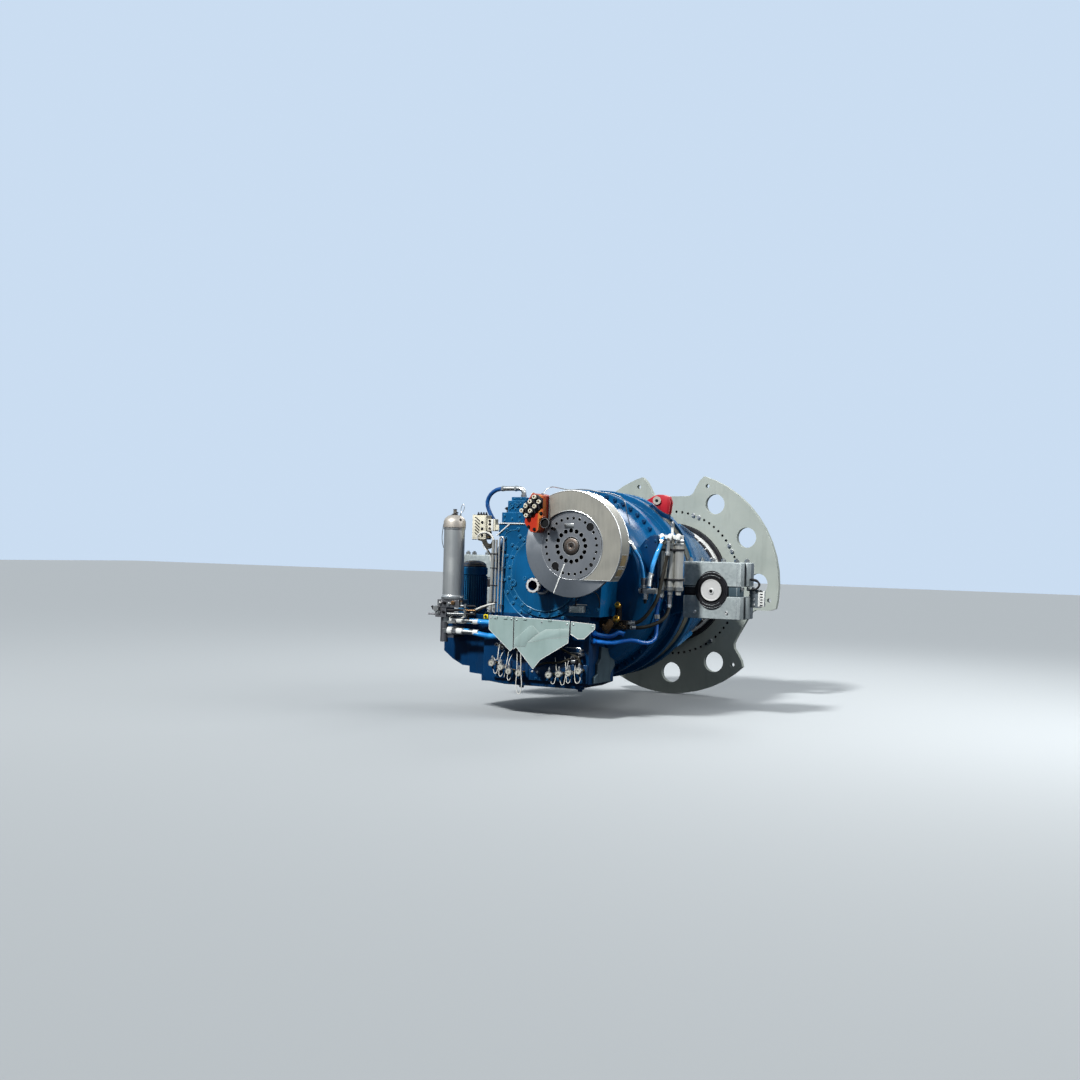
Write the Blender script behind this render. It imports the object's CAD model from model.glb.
# %% [markdown]
# # A wind turbine gearbox, dressed in Blender
# The gearbox of a wind turbine turns the slow rotor shaft into the fast shaft of the generator. Its solids
# come packed from CAD, in metres. This file keeps those solids as a fixed frame and gives each one its real
# finish. Then it adds the bolts, fittings, gauges and hose ends that make a machine look like a machine.

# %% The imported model
import math
import bmesh
import bpy
from mathutils import Matrix, Vector


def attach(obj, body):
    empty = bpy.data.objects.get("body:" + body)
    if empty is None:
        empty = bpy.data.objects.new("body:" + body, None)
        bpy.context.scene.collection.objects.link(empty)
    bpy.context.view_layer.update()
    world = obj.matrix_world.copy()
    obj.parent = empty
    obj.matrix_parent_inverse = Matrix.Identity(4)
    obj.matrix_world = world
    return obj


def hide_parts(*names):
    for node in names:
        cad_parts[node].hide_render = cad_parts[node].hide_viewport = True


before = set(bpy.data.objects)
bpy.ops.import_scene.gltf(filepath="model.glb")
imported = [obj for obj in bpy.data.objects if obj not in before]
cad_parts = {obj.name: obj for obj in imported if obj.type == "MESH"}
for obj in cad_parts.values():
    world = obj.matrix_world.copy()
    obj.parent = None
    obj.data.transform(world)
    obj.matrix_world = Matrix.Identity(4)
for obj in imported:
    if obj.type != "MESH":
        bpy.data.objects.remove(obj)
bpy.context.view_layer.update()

# %% [markdown]
# ## One set of axes
# The gearbox was drawn in millimetres about its main shaft: x to the right, y from the brake disc back to
# the rotor, z up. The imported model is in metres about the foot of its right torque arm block. One matrix
# takes a shape from the first to the second, so every number below can be read off a drawing.

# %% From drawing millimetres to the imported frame
SEAT = Vector((1276, -2002.5, -274))
TO_FRAME = Matrix.Scale(0.001, 4) @ Matrix.Translation(-SEAT)


def in_frame(x, y, z):
    """A point of the drawing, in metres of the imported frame."""
    return TO_FRAME @ Vector((x, y, z))


print("main shaft's front end:", in_frame(0, -3315, 0))

# %% [markdown]
# ## The camera
# A 50 mm lens stands 15 m in front of the gearbox and 27 degrees to its right, almost level. The three turns
# below are the yaw, pitch and roll that bring the drawn circles of the discs onto the circles that the eye
# sees from there.

# %% Camera
YAW = math.radians(26.98)
PITCH = math.radians(-0.94)
ROLL = math.radians(1.26)
to_eye = (Matrix(((1, 0, 0), (0, 0, -1), (0, 1, 0))) @ Matrix.Rotation(-YAW, 3, "Z")
          @ Matrix.Rotation(PITCH, 3, "X") @ Matrix.Rotation(ROLL, 3, "Y"))
lens = bpy.data.cameras.new("camera")
lens.lens = 50
lens.sensor_width = 36
lens.clip_end = 200
camera = bpy.data.objects.new("camera", lens)
turn = Matrix((to_eye[0], -to_eye[1], -to_eye[2])).transposed()
camera.matrix_world = Matrix.Translation(in_frame(6138.2, -15244.5, 346.0)) @ turn.to_4x4()
bpy.context.scene.collection.objects.link(camera)
bpy.context.scene.camera = camera
print("camera at", camera.matrix_world.translation, "looking along", -turn.col[2])

# %% [markdown]
# ## Floor and light
# A plain pale floor lies under the lock disc, the lowest part. One sun lamp shines from above and in front.
# Its angle of 7 degrees makes the edge of a shadow as soft as thin haze does. A broad lamp from the right
# lights the flanks and rims that face that way, weaker ones the left side and the back. The world is a sky
# that grows darker below the horizon, which gives bright metal its contrast.


# %% Floor, sky and lamps
def linear(code):
    """The linear colour of an sRGB hex value."""
    channels = [(code >> shift & 255) / 255 for shift in (16, 8, 0)]
    return tuple(c / 12.92 if c <= 0.04045 else ((c + 0.055) / 1.055) ** 2.4 for c in channels) + (1,)


def add_node(tree, kind, settings=None, values=None, links=None):
    """One shader node with its settings, its constant inputs and the sockets that feed it."""
    node = tree.nodes.new(kind)
    for key, value in (settings or {}).items():
        setattr(node, key, value)
    for socket, value in (values or {}).items():
        node.inputs[socket].default_value = value
    for socket, source in (links or {}).items():
        tree.links.new(source, node.inputs[socket])
    return node


floor_shape = bmesh.new()
bmesh.ops.create_grid(floor_shape, x_segments=1, y_segments=1, size=60,
                      matrix=Matrix.Translation((-1.2, 0, -0.9365)))
floor_mesh = bpy.data.meshes.new("floor")
floor_shape.to_mesh(floor_mesh)
floor_shape.free()
floor = bpy.data.objects.new("floor", floor_mesh)
bpy.context.scene.collection.objects.link(floor)
floor_paint = bpy.data.materials.new("pale_floor")
floor_paint.use_nodes = True
pale = floor_paint.node_tree.nodes["Principled BSDF"]
pale.inputs["Base Color"].default_value = linear(0xB2B7B9)
pale.inputs["Roughness"].default_value = 0.8
# The floor is pale to the lens, but gives back little light, so undersides stay as dark as over open air.
dark = add_node(floor_paint.node_tree, "ShaderNodeBsdfDiffuse", None, {"Color": linear(0x3A4048)})
bounce = add_node(floor_paint.node_tree, "ShaderNodeLightPath")
floor_mix = add_node(floor_paint.node_tree, "ShaderNodeMixShader", None, None,
                     {0: bounce.outputs["Is Camera Ray"], 1: dark.outputs[0], 2: pale.outputs[0]})
floor_paint.node_tree.links.new(floor_mix.outputs[0],
                                floor_paint.node_tree.nodes["Material Output"].inputs["Surface"])
floor_mesh.materials.append(floor_paint)

# Matt surfaces get a dim sky, so that shadows stay deep. Gloss mirrors a sky that is dark near the ground
# and bright overhead, and the lens sees one even pale blue.
sky = bpy.data.worlds.new("pale_sky")
sky.use_nodes = True
bright_sky = sky.node_tree.nodes["Background"]
bright_sky.inputs["Color"].default_value = linear(0xCFE2F7)
bright_sky.inputs["Strength"].default_value = 0.95
dim_sky = add_node(sky.node_tree, "ShaderNodeBackground", None,
                   {"Color": linear(0xBFD2E8), "Strength": 0.15})
sky_way = add_node(sky.node_tree, "ShaderNodeSeparateXYZ", None, None,
                  {0: add_node(sky.node_tree, "ShaderNodeTexCoord").outputs["Generated"]})
sky_power = add_node(sky.node_tree, "ShaderNodeMapRange", None,
                     {"From Min": -0.15, "From Max": 0.5, "To Min": 0.25, "To Max": 1.0},
                     {0: sky_way.outputs["Z"]})
gloss_sky = add_node(sky.node_tree, "ShaderNodeBackground", None, {"Color": linear(0xD6E4F2)},
                     {"Strength": sky_power.outputs["Result"]})
ray = add_node(sky.node_tree, "ShaderNodeLightPath")
lit_sky = add_node(sky.node_tree, "ShaderNodeMixShader", None, None,
                   {0: ray.outputs["Is Diffuse Ray"], 1: gloss_sky.outputs[0], 2: dim_sky.outputs[0]})
both = add_node(sky.node_tree, "ShaderNodeMixShader", None, None,
                {0: ray.outputs["Is Camera Ray"], 1: lit_sky.outputs[0], 2: bright_sky.outputs[0]})
sky.node_tree.links.new(both.outputs[0], sky.node_tree.nodes["World Output"].inputs["Surface"])
bpy.context.scene.world = sky


def add_lamp(name, place, target, width, power):
    """A square soft lamp at a place, facing a target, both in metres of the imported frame."""
    light = bpy.data.lights.new(name, "AREA")
    light.shape = "SQUARE"
    light.size = width
    light.energy = power
    lamp = bpy.data.objects.new(name, light)
    away = Vector(place) - Vector(target)
    lamp.matrix_world = Matrix.Translation(place) @ away.to_track_quat("Z", "Y").to_matrix().to_4x4()
    bpy.context.scene.collection.objects.link(lamp)
    return lamp


MIDDLE = (-1.2, 0.2, 0.3)
sun = bpy.data.lights.new("hazy_sun", "SUN")
sun.energy = 4.2
sun.angle = 0.12
sun_lamp = bpy.data.objects.new("hazy_sun", sun)
sun_lamp.matrix_world = Vector((-0.18, -1.0, 0.85)).to_track_quat("Z", "Y").to_matrix().to_4x4()
bpy.context.scene.collection.objects.link(sun_lamp)
add_lamp("left_fill_lamp", (-8.0, -6.0, 4.0), MIDDLE, 4.0, 60)
add_lamp("right_lamp", (5.7, 1.0, 4.8), MIDDLE, 4.0, 420)
add_lamp("back_lamp", (-1.0, 7.0, 7.0), MIDDLE, 4.0, 300)
bpy.context.scene.view_settings.view_transform = "Standard"

# %% [markdown]
# ## The painted finishes
# Almost every casting here is sprayed with two-pack epoxy enamel. Under a lens such a coat is not one colour:
# it is thicker in hollows, a little lighter where the sun has chalked it, rubbed through at the edges, and
# it has the fine dimples that painters call orange peel. A Bevel node compares the flat normal with one that
# is rounded off over a few millimetres, and so finds the edges where paint wears first.


# %% Enamel on cast iron and steel plate
def new_finish(name):
    """A material with its node tree, its shader and the object's own coordinates."""
    material = bpy.data.materials.new(name)
    material.use_nodes = True
    tree = material.node_tree
    place = add_node(tree, "ShaderNodeTexCoord").outputs["Object"]
    return material, tree, tree.nodes["Principled BSDF"], place


def add_spots(tree, place, size_mm, detail=3.0, stretch=(1, 1, 1), low=0.35, high=0.65):
    """Soft spots of a size in millimetres, from 0 to 1; stretch makes them long along an axis."""
    mapped = add_node(tree, "ShaderNodeMapping", None, {"Scale": stretch}, {"Vector": place})
    noise = add_node(tree, "ShaderNodeTexNoise", None, {"Scale": 1000 / size_mm, "Detail": detail},
                     {"Vector": mapped.outputs["Vector"]})
    ramp = add_node(tree, "ShaderNodeMapRange", None, {"From Min": low, "From Max": high},
                    {"Value": noise.outputs["Fac"]})
    return ramp.outputs["Result"]


def add_edges(tree, width_mm):
    """1 along the sharp outer and inner edges of a piece, 0 on its flat and round faces."""
    rounded = add_node(tree, "ShaderNodeBevel", {"samples": 4}, {"Radius": width_mm / 1000})
    flat = add_node(tree, "ShaderNodeNewGeometry")
    match = add_node(tree, "ShaderNodeVectorMath", {"operation": "DOT_PRODUCT"}, None,
                     {0: rounded.outputs["Normal"], 1: flat.outputs["Normal"]})
    ramp = add_node(tree, "ShaderNodeMapRange", None, {"From Min": 0.995, "From Max": 0.93},
                    {"Value": match.outputs["Value"]})
    return ramp.outputs["Result"]


def tint(tree, mask, amount, base, colour):
    """A base colour with another one over it where a mask is 1, up to an amount; sockets or hex values."""
    share = add_node(tree, "ShaderNodeMapRange", None, {"To Max": amount}, {"Value": mask})
    node = add_node(tree, "ShaderNodeMix", {"data_type": "RGBA"}, None, {0: share.outputs["Result"]})
    for socket, tone in ((6, base), (7, colour)):
        if isinstance(tone, int):
            node.inputs[socket].default_value = linear(tone)
        else:
            tree.links.new(tone, node.inputs[socket])
    return node.outputs[2]


def feed_shader(tree, shader, colour, gloss, rough, spread, relief=None, bump=0.0, depth_mm=0.0):
    """Feeds the colour, a roughness from rough to rough + spread, and a bump of some depth."""
    tree.links.new(colour, shader.inputs["Base Color"])
    ramp = add_node(tree, "ShaderNodeMapRange", None, {"To Min": rough, "To Max": rough + spread},
                    {"Value": gloss})
    tree.links.new(ramp.outputs["Result"], shader.inputs["Roughness"])
    if relief is not None:
        bumps = add_node(tree, "ShaderNodeBump", None, {"Strength": bump, "Distance": depth_mm / 1000},
                         {"Height": relief})
        tree.links.new(bumps.outputs["Normal"], shader.inputs["Normal"])


def enamel(name, colour, thin, edge, dirt, rough=0.24, edge_mm=4, dirt_amount=0.35, coat=0.1):
    """Sprayed enamel: a colour, its chalked tone, the rubbed edge and the dirt that settles on it."""
    material, tree, shader, place = new_finish(name)
    tone = tint(tree, add_spots(tree, place, 320, 4), 1, colour, thin)
    streaks = add_spots(tree, place, 60, 5, (1, 1, 0.16), 0.52, 0.8)
    dirty = tint(tree, streaks, dirt_amount, tone, dirt)
    worn = tint(tree, add_edges(tree, edge_mm), 0.75, dirty, edge)
    # The dimples of a sprayed coat are 1 to 2 mm wide; they are drawn 7 mm wide, so that they show.
    peel = add_node(tree, "ShaderNodeTexNoise", None, {"Scale": 1000 / 7, "Detail": 1.0}, {"Vector": place})
    feed_shader(tree, shader, worn, streaks, rough, 0.2, peel.outputs["Fac"], 0.12, 0.6)
    shader.inputs["Specular IOR Level"].default_value = 0.16
    shader.inputs["Coat Weight"].default_value = coat
    shader.inputs["Coat Roughness"].default_value = 0.2
    return material


# The machine blue: saturated in the light and near navy in the shade.
blue_enamel = enamel("blue_epoxy_enamel", 0x084A74, 0x0E5E92, 0x5AA6CC, 0x06283E)
# The same coat a shade darker, on parts that face down or sit inside.
navy_enamel = enamel("navy_epoxy_enamel", 0x04284A, 0x08345C, 0x347099, 0x04172A)
# A matt two-pack primer, grey with a green cast: the lock disc is left in it.
grey_primer = enamel("grey_green_primer", 0x9AA29B, 0xA5ACA4, 0xD2D8D0, 0x6A716B, 0.55, 3, 0.3, 0.0)
# An old coat of blue-grey, on the sump's foot and the outer clamps of the blocks.
slate_enamel = enamel("slate_grey_enamel", 0x3C4C54, 0x475860, 0x7E8D93, 0x22292D, 0.45, 3)
# The same primer, fresh, on thin sheet.
sheet_primer = enamel("pale_sheet_primer", 0x889E9A, 0x98ACA9, 0xEEF3EE, 0x6E7C74, 0.5, 3, 0.3, 0.0)
# Signal red on the lifting lug, chalked on top.
red_enamel = enamel("signal_red_enamel", 0xA81E2A, 0xC22E3A, 0xE88A84, 0x4A0A12, 0.38, 5, 0.7)
# The toothed ring is left unpainted, under a film of olive preserving grease.
ring_grease = enamel("olive_preserving_film", 0x5E5E52, 0x6C6C60, 0x94948A, 0x36362E, 0.35, 3, 0.5, 0.2)
# The caliper's orange red has flaked off in patches, down to an ochre primer.
caliper_red = enamel("flaked_orange_red_enamel", 0x9E2214, 0xB8341E, 0xE89A6C, 0xD9A24A, 0.38, 6, 0.95)
# A satin white on brackets and small bars.
white_enamel = enamel("satin_white_enamel", 0xD9DCD8, 0xE4E6E2, 0xFFFFFF, 0x8B8D88, 0.4, 3, 0.3, 0.1)
print("finishes so far:", [m.name for m in bpy.data.materials])

# %% [markdown]
# ## Bare and plated metal
# Turned steel shows the fine rings of the tool, so its bump runs in circles about the shaft. Sheet and tube
# of stainless steel carry the lines of the rolling mill along their length. Hot-dip galvanising leaves a
# spangle of zinc crystals, each a little lighter or darker than the next. A metal has no colour of its own
# under its shine, so the base colour is the mirror's tint and roughness does most of the work.


# %% Turned, rolled, galvanised
def metal(name, colour, dark, rough, grain_mm, stretch, edge, metallic=1.0):
    """Metal with a grain: spots of a size that are stretched into the lines of its making."""
    material, tree, shader, place = new_finish(name)
    # A real grain is finer than a millimetre and is drawn as coarse as it needs to show from 15 m.
    grain = add_spots(tree, place, grain_mm, 2, stretch, 0.3, 0.7)
    stains = add_spots(tree, place, 140, 5, (1, 1, 1), 0.4, 0.75)
    stained = tint(tree, stains, 0.4, tint(tree, grain, 0.35, colour, dark), dark)
    edged = tint(tree, add_edges(tree, 3), 0.9, stained, edge)
    feed_shader(tree, shader, edged, stains, rough, 0.15, grain, 0.1, 0.4)
    shader.inputs["Metallic"].default_value = metallic
    return material


# A wave texture of scale 1 has a ring every tau / 20 of a metre.
WAVE_MM = 314


def turned_metal(name, centre, colour, dark, rough, pitch_mm, fan=0.0, metallic=1.0):
    """Steel faced on a lathe: rings about an axis along y, at a pitch between cuts."""
    material, tree, shader, place = new_finish(name)
    shift = add_node(tree, "ShaderNodeMapping", None, {"Location": [-c for c in centre]}, {"Vector": place})
    # A lathe cuts its rings half a millimetre apart; these are as coarse as they need to be to show.
    rings = add_node(tree, "ShaderNodeTexWave", {"wave_type": "RINGS", "rings_direction": "Y"},
                     {"Scale": WAVE_MM / pitch_mm, "Distortion": 0.6, "Detail": 2.0, "Detail Scale": 0.5},
                     {"Vector": shift.outputs["Vector"]})
    stains = add_spots(tree, place, 110, 6, (1, 1, 1), 0.42, 0.7)
    stained = tint(tree, stains, 0.5, tint(tree, rings.outputs["Fac"], 0.3, colour, dark), dark)
    edged = tint(tree, add_edges(tree, 4), 0.8, stained, 0xE9E9E6)
    feed_shader(tree, shader, edged, stains, rough, 0.14, rings.outputs["Fac"], 0.12, 0.4)
    shader.inputs["Metallic"].default_value = metallic
    if fan:
        around = add_node(tree, "ShaderNodeVectorMath", {"operation": "CROSS_PRODUCT"}, {1: (0, 1, 0)},
                          {0: shift.outputs["Vector"]})
        tree.links.new(around.outputs["Vector"], shader.inputs["Tangent"])
        shader.inputs["Anisotropic"].default_value = fan
    return material


def galvanised(name, bright, dull, crystal_mm=22):
    """Hot-dip zinc: crystals of a size, each with its own grey and its own gloss."""
    material, tree, shader, place = new_finish(name)
    cells = add_node(tree, "ShaderNodeTexVoronoi", None, {"Scale": 1000 / crystal_mm}, {"Vector": place})
    pick = add_node(tree, "ShaderNodeSeparateColor", None, None, {"Color": cells.outputs["Color"]})
    crystals = tint(tree, pick.outputs["Red"], 1, bright, dull)
    cloudy = tint(tree, add_spots(tree, place, 180, 5), 0.35, crystals, 0x70787A)
    edged = tint(tree, add_edges(tree, 4), 0.8, cloudy, 0xE6ECEA)
    feed_shader(tree, shader, edged, pick.outputs["Green"], 0.42, 0.16)
    shader.inputs["Metallic"].default_value = 0.3
    return material


# Facing cuts on the brake disc and the coupling hub, which share the fast shaft's axis.
FAST_AXIS = in_frame(422, -3400, 360)
brake_steel = turned_metal("turned_brake_steel", FAST_AXIS, 0xB4B7BA, 0x7C8084, 0.32, 9, 0.75)
hub_steel = turned_metal("turned_hub_steel", FAST_AXIS, 0x919498, 0x5D6064, 0.42, 7)
# The shaft's end has stayed in its rough, oily skin.
boss_steel = turned_metal("oily_shaft_end", FAST_AXIS, 0x6E645C, 0x443C37, 0.4, 12)
# The torque pins are turned fine and wiped clean, so they are the palest steel.
pin_steel = turned_metal("turned_pin_steel", in_frame(1276, -2200, -10), 0xDCDCD9, 0xB4B2AF, 0.45, 7, 0, 0.5)
# The guard is rolled stainless sheet, warm grey, matt along the rolling direction.
guard_sheet = metal("rolled_stainless_sheet", 0xA9A69B, 0x87857C, 0.44, 14, (1, 1, 0.1), 0xF4F2EA, 0.8)
# Drawn stainless tube and the filter's body: bright, with lines along z.
tube_steel = metal("drawn_stainless_tube", 0xC8C8C2, 0x96968F, 0.28, 10, (1, 1, 0.05), 0xF2F2EC, 0.6)
shell_steel = metal("matt_filter_shell", 0xC8CAC8, 0x9C9E9C, 0.36, 16, (1, 1, 0.03), 0xEDEDE6, 0.85)
# Zinc-plated screws and fittings give small sharp glints.
bright_steel = metal("bright_plated_steel", 0xC2C2BE, 0x8E8E8B, 0.27, 8, (1, 1, 1), 0xFFFFFF)
# Machined steel under a film of oil is grey, with a dull sheen.
dull_steel = metal("oily_machined_steel", 0x77777A, 0x4D4D50, 0.42, 10, (1, 1, 1), 0xBDBDBD)
# The filter's cap has a beige chromate coat, warm beside the steel.
cap_steel = metal("beige_plated_cap", 0xC6BEB2, 0x8E847A, 0.42, 12, (1, 1, 1), 0xE2DCD0, 0.7)
# Small fittings of cast bronze are brown, with a soft gloss.
bronze = metal("brown_cast_bronze", 0x8A6A4A, 0x4F3A28, 0.42, 12, (1, 1, 1), 0xC9A67A)
# The valve's bronze is dark with oil, nearly black in the shade.
dark_bronze = metal("oily_dark_bronze", 0x2B2725, 0x161414, 0.45, 12, (1, 1, 1), 0x6A5A4C, 0.7)
# Passivated brass gives the few warm yellow glints.
gold = metal("yellow_passivated_brass", 0xE0A63A, 0xA8741C, 0.3, 8, (1, 1, 1), 0xFFE09A)
# Hot-dip zinc on the torque arm blocks shows pale crystals and no mirror.
zinc = galvanised("galvanised_casting", 0xB4BDBC, 0x9EA8A8)
# Older zinc has weathered to a darker, bluer grey.
dull_zinc = galvanised("dull_galvanised_plate", 0x6E7880, 0x586168, 30)
print("finishes with the metals:", [m.name for m in bpy.data.materials])

# %% [markdown]
# ## Rubber, hose, plastic and glass
# Rubber is nearly black but never quite: its skin scatters a little light, so it looks grey where it curves
# away. The blue hoses have a smooth thermoplastic cover over a textile braid whose weave prints through.


# %% Soft and moulded finishes
def moulded(name, colour, second, rough, grain_mm=5, bump=0.15, coat=0.0):
    """Rubber or plastic: one colour with a faint cloud in it, and a fine grain."""
    material, tree, shader, place = new_finish(name)
    cloud = add_spots(tree, place, 80, 4)
    tone = tint(tree, cloud, 1, colour, second)
    # The weave of a braid and the grain of rubber are 1 mm wide at most, and are drawn wider to show.
    grain = add_node(tree, "ShaderNodeTexNoise", None, {"Scale": 1000 / grain_mm, "Detail": 2.0},
                     {"Vector": place})
    feed_shader(tree, shader, tone, cloud, rough, 0.12, grain.outputs["Fac"], bump, 0.5)
    shader.inputs["Coat Weight"].default_value = coat
    shader.inputs["Specular IOR Level"].default_value = 0.2
    return material


# Nitrile rubber is near black, with a faint grey cloud in it.
black_rubber = moulded("black_nitrile_rubber", 0x17171A, 0x26262A, 0.5)
# Hose rubber has a brown cast and is matt with dust.
black_hose_skin = moulded("black_hose_skin", 0x26241F, 0x38352C, 0.45, 6, 0.3)
# A thermoplastic cover over braid gives clear blue and long soft highlights.
blue_hose_skin = moulded("blue_braided_hose_cover", 0x1C86D4, 0x3CA8EA, 0.32, 4, 0.25, 0.3)
# The same cover in navy, on the hose at the top.
navy_hose_skin = moulded("navy_braided_hose_cover", 0x0A3A70, 0x104F8E, 0.32, 4, 0.25, 0.3)
# Lacquered steel pipe is the smoothest blue, with one sharp highlight along it.
pipe_blue = moulded("blue_lacquered_pipe", 0x0C60BC, 0x1E7CD8, 0.2, 9, 0.05, 0.6)
# Polyamide that has yellowed a little gives an even, soft cream.
cream_plastic = moulded("cream_polyamide", 0xD6D2BC, 0xE4E0CE, 0.42)
# A cable's sheath is white and nearly matt.
white_cable = moulded("white_cable_sheath", 0xE4E4DE, 0xD2D2CA, 0.4)
# Bright yellow polyamide, on a single cap beside the left shield.
yellow_plastic = moulded("yellow_polyamide", 0xE8CF1E, 0xF4E04A, 0.4)
# Blackened steel, also inside bored holes, gives the darkest tone, without gloss.
black_oxide = moulded("black_oxide_steel", 0x050506, 0x0B0B0D, 0.6)
# An enamelled dial under glass is pale, with a clear coat's reflection.
gauge_face = moulded("enamelled_gauge_face", 0xB8B8AE, 0xA6A69C, 0.3, 6, 0.05, 0.6)
# Pressed friction lining is sandy and quite matt.
tan_pad = moulded("tan_friction_lining", 0x8C7B5A, 0x6E5F44, 0.6)
print("finishes in all:", len(bpy.data.materials))

# %% [markdown]
# ## Shapes in millimetres
# Each piece is drawn in the gearbox's own millimetres on one drawing board, the bmesh called board. A small
# shape starts from one operator, such as create_cone or spin, and is put on the board with the number of
# its finish. When the piece is whole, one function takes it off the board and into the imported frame, and
# lets it ride on a body.


# %% Small shapes that pieces are made of
board = bmesh.new()


def put(bit, finish=0, matrix=None):
    """Puts a small shape on the board, with the number of its finish."""
    if matrix is not None:
        bmesh.ops.transform(bit, matrix=matrix, verts=bit.verts)
    bmesh.ops.recalc_face_normals(bit, faces=bit.faces)
    for face in bit.faces:
        face.material_index = finish
    mesh = bpy.data.meshes.new("bit")
    bit.to_mesh(mesh)
    bit.free()
    board.from_mesh(mesh)
    bpy.data.meshes.remove(mesh)


def round_edges(bit, offset):
    """Rounds all edges of a shape."""
    bmesh.ops.bevel(bit, geom=list(bit.edges), offset=offset, offset_type="OFFSET", affect="EDGES",
                    segments=2, profile=0.5, material=-1, clamp_overlap=True)


def turned_about_y(place, degrees):
    """The matrix that turns a shape about y and moves it to a place."""
    return Matrix.Translation(place) @ Matrix.Rotation(math.radians(degrees), 4, "Y")


def block(low, high, finish=0, rounding=0, matrix=None):
    """A block between two corners, its edges rounded."""
    bit = bmesh.new()
    size = Vector(high) - Vector(low)
    middle = Matrix.Translation((Vector(high) + Vector(low)) / 2)
    bmesh.ops.create_cube(bit, size=1, matrix=middle @ Matrix.Diagonal((*size, 1)))
    if rounding:
        round_edges(bit, rounding)
    put(bit, finish, matrix)


def rod(start, end, radius, sides=16, finish=0):
    """A round or hexagonal rod between two points; a pair of radii makes it taper."""
    bit = bmesh.new()
    start, end = Vector(start), Vector(end)
    along = end - start
    near, far = radius if isinstance(radius, tuple) else (radius, radius)
    bmesh.ops.create_cone(bit, cap_ends=True, segments=sides, radius1=near, radius2=far, depth=along.length)
    turn_to = along.to_track_quat("Z", "Y").to_matrix().to_4x4()
    put(bit, finish, Matrix.Translation((start + end) / 2) @ turn_to)


def on_axis(axis, centre, height):
    """The point at a height along the axis that runs through a centre."""
    first, second = centre
    places = {"X": (height, first, second), "Y": (first, height, second), "Z": (first, second, height)}
    return Vector(places[axis])


def stack(axis, centre, *rows):
    """Rods on one axis; a row says from where to where, the radius, the sides and the finish."""
    for start, end, *rest in rows:
        rod(on_axis(axis, centre, start), on_axis(axis, centre, end), *rest)


def turned(profile, centre, steps=32, finish=0, closed=False, axis="Y"):
    """A profile of (radius, height) points, spun about an axis through a centre."""
    bit = bmesh.new()
    points = [bit.verts.new(on_axis(axis, centre, h) + Vector((r, 0, 0))) for r, h in profile]
    pairs = list(zip(points, points[1:]))
    if closed:
        pairs.append((points[-1], points[0]))
    edges = [bit.edges.new(pair) for pair in pairs]
    bmesh.ops.spin(bit, geom=points + edges, cent=on_axis(axis, centre, 0), axis=on_axis(axis, (0, 0), 1),
                   angle=math.tau, steps=steps, use_merge=True)
    bmesh.ops.remove_doubles(bit, verts=bit.verts, dist=0.01)
    put(bit, finish)


def draw_out(corners, way):
    """A flat outline, drawn out into a solid along a vector."""
    bit = bmesh.new()
    face = bit.faces.new([bit.verts.new(corner) for corner in corners])
    drawn = bmesh.ops.extrude_face_region(bit, geom=[face])
    moved = [v for v in drawn["geom"] if isinstance(v, bmesh.types.BMVert)]
    bmesh.ops.translate(bit, verts=moved, vec=way)
    return bit


def plate(outline, front, back, finish=0, rounding=0):
    """A flat plate: an outline of (x, z) points, drawn out from one y to another."""
    bit = draw_out([(x, front, z) for x, z in outline], (0, back - front, 0))
    if rounding:
        round_edges(bit, rounding)
    put(bit, finish)


def tube(points, radius, finish=0, cyclic=False, sides=3, bends=6, kind="AUTO"):
    """A round bar, pipe or cable through a row of points."""
    curve = bpy.data.curves.new("route", "CURVE")
    curve.dimensions = "3D"
    curve.bevel_depth = radius
    curve.bevel_resolution = sides
    curve.resolution_u = bends
    curve.use_fill_caps = True
    spline = curve.splines.new("BEZIER")
    spline.bezier_points.add(len(points) - 1)
    spline.use_cyclic_u = cyclic
    for knot, point in zip(spline.bezier_points, points):
        knot.co = point
        knot.handle_left_type = kind
        knot.handle_right_type = kind
    carrier = bpy.data.objects.new("route", curve)
    mesh = bpy.data.meshes.new_from_object(carrier)
    bit = bmesh.new()
    bit.from_mesh(mesh)
    bpy.data.objects.remove(carrier)
    bpy.data.curves.remove(curve)
    bpy.data.meshes.remove(mesh)
    bmesh.ops.remove_doubles(bit, verts=bit.verts, dist=0.01)
    put(bit, finish)


def on_ring(centre, radius, degrees, y=0):
    """A point on a circle about an axis along y."""
    angle = math.radians(degrees)
    return Vector((centre[0] + radius * math.cos(angle), y, centre[1] + radius * math.sin(angle)))


def spots(y, *places):
    """Points at one y, from pairs of x and z."""
    return [(x, y, z) for x, z in places]


def bolts(places, across, height, finish=0, facing=-1):
    """Hexagon heads with a chamfer and a washer, standing on a face that looks along y."""
    for place in places:
        base = Vector(place)
        rod(base, base + Vector((0, facing * height * 0.15, 0)), across * 0.66, 16, finish)
        top = base + Vector((0, facing * height * 0.85, 0))
        rod(base, top, across * 0.577, 6, finish)
        rod(top, base + Vector((0, facing * height, 0)), (across * 0.577, across * 0.47), 6, finish)


def link_mesh(name, mesh):
    """An object for a mesh, in the scene."""
    item = bpy.data.objects.new(name, mesh)
    bpy.context.scene.collection.objects.link(item)
    return item


def take_off_board(name, finishes):
    """The board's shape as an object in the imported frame; the board is empty again."""
    bmesh.ops.transform(board, matrix=TO_FRAME, verts=board.verts)
    mesh = bpy.data.meshes.new(name)
    board.to_mesh(mesh)
    board.clear()
    for finish in finishes:
        mesh.materials.append(finish)
    return link_mesh(name, mesh)


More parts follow.
